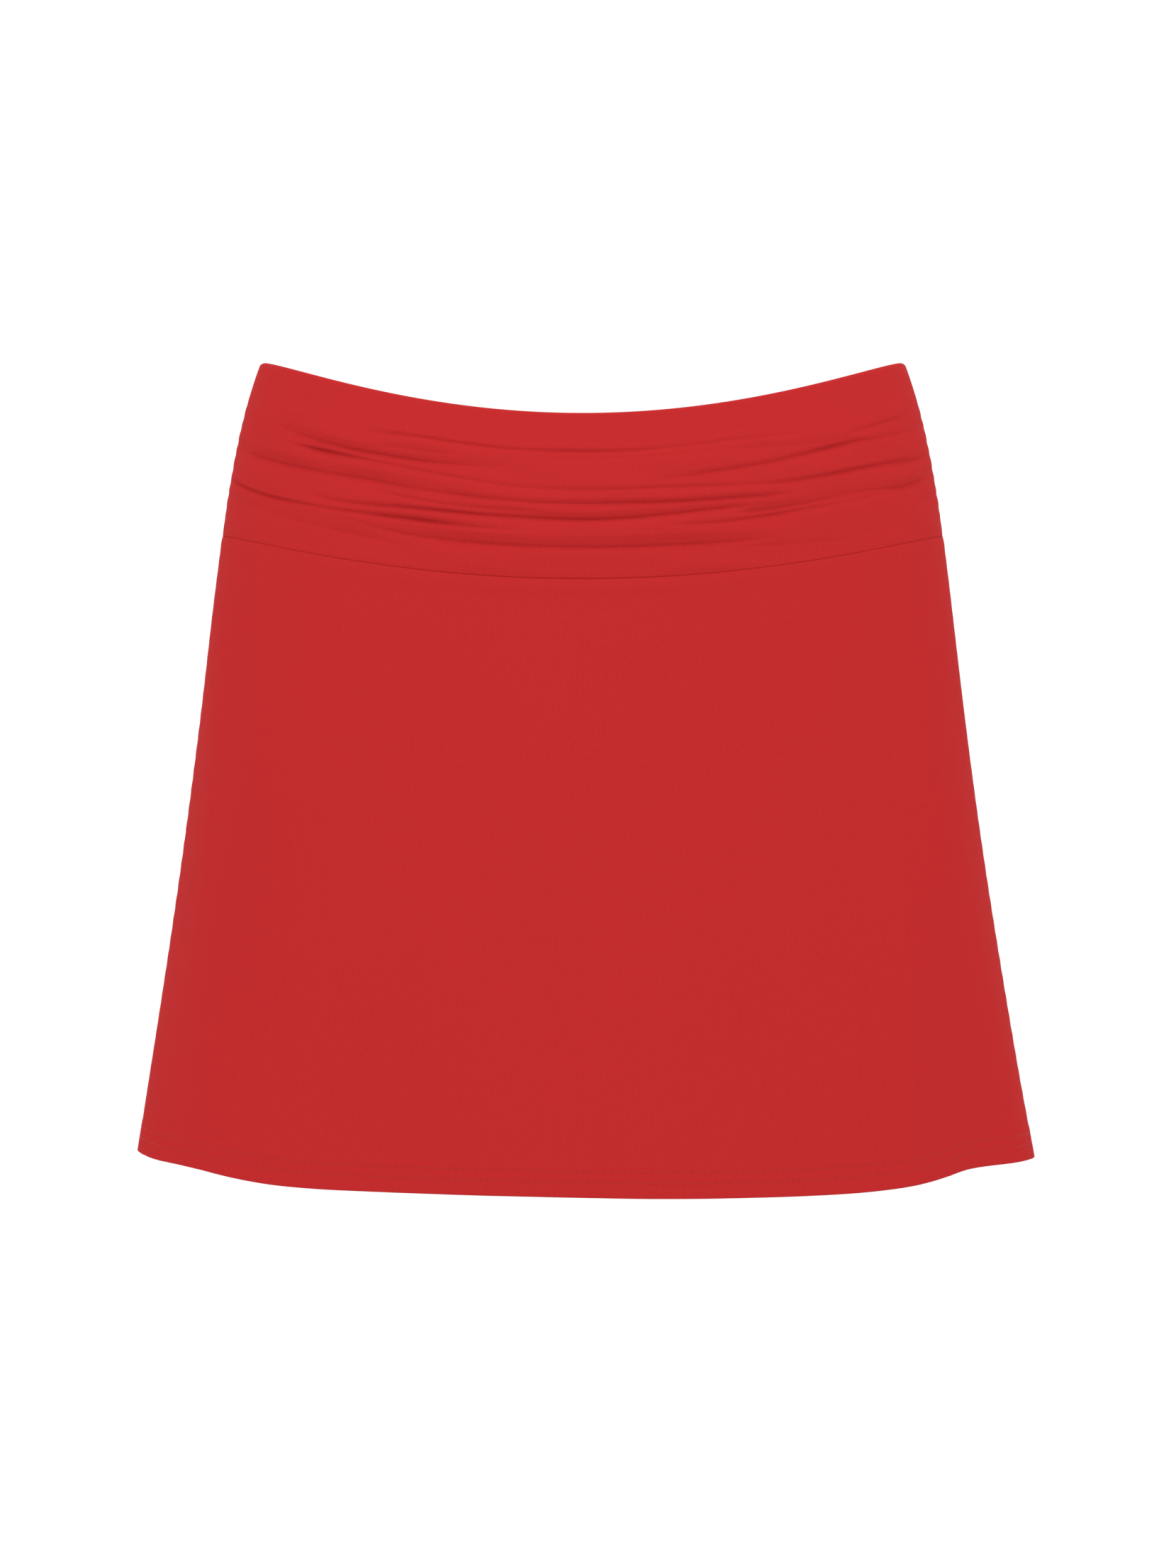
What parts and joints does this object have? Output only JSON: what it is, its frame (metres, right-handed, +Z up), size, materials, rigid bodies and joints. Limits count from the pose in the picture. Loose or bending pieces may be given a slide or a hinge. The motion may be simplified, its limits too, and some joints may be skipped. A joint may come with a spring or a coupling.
{
  "type": "swim skirt",
  "caption": "Pull-on A-line swim skirt: stretch knit panels on a deep waistband gathered at its side seams, with elastic in the top edge and a stitched hem.",
  "frame": {"origin": "centre of the waist opening, level with the tops of the side seams", "axes": "+X towards the wearer's left, -Y the wearer's front, +Z up out of the waist opening"},
  "size_m": [0.4218, 0.2849, 0.3787],
  "materials": {
    "outer_knit": "matt stretch swim knit, fine even texture",
    "lining_knit": "lighter matt knit",
    "thread": "soft textured polyester thread",
    "woven_elastic": "ribbed woven elastic",
    "clear_tape": "clear stretch tape",
    "label_satin": "blank satin ribbon"
  },
  "bodies": {
    "root": {"front_skirt_panel": "outer_knit", "back_skirt_panel": "outer_knit", "front_waistband": "outer_knit", "back_waistband": "outer_knit", "front_waistband_lining": "lining_knit", "back_waistband_lining": "lining_knit", "waist_elastic": "woven_elastic", "elastic_stitching": "thread", "left_ruching_tape": "clear_tape", "right_ruching_tape": "clear_tape", "left_waistband_overlock": "thread", "right_waistband_overlock": "thread", "waist_seam_overlock": "thread", "left_side_overlock": "thread", "right_side_overlock": "thread", "hem_needle_stitches": "thread", "hem_looper_stitches": "thread", "size_label": "label_satin", "size_label_stitches": "thread", "care_label": "label_satin"}
  },
  "joints": []
}
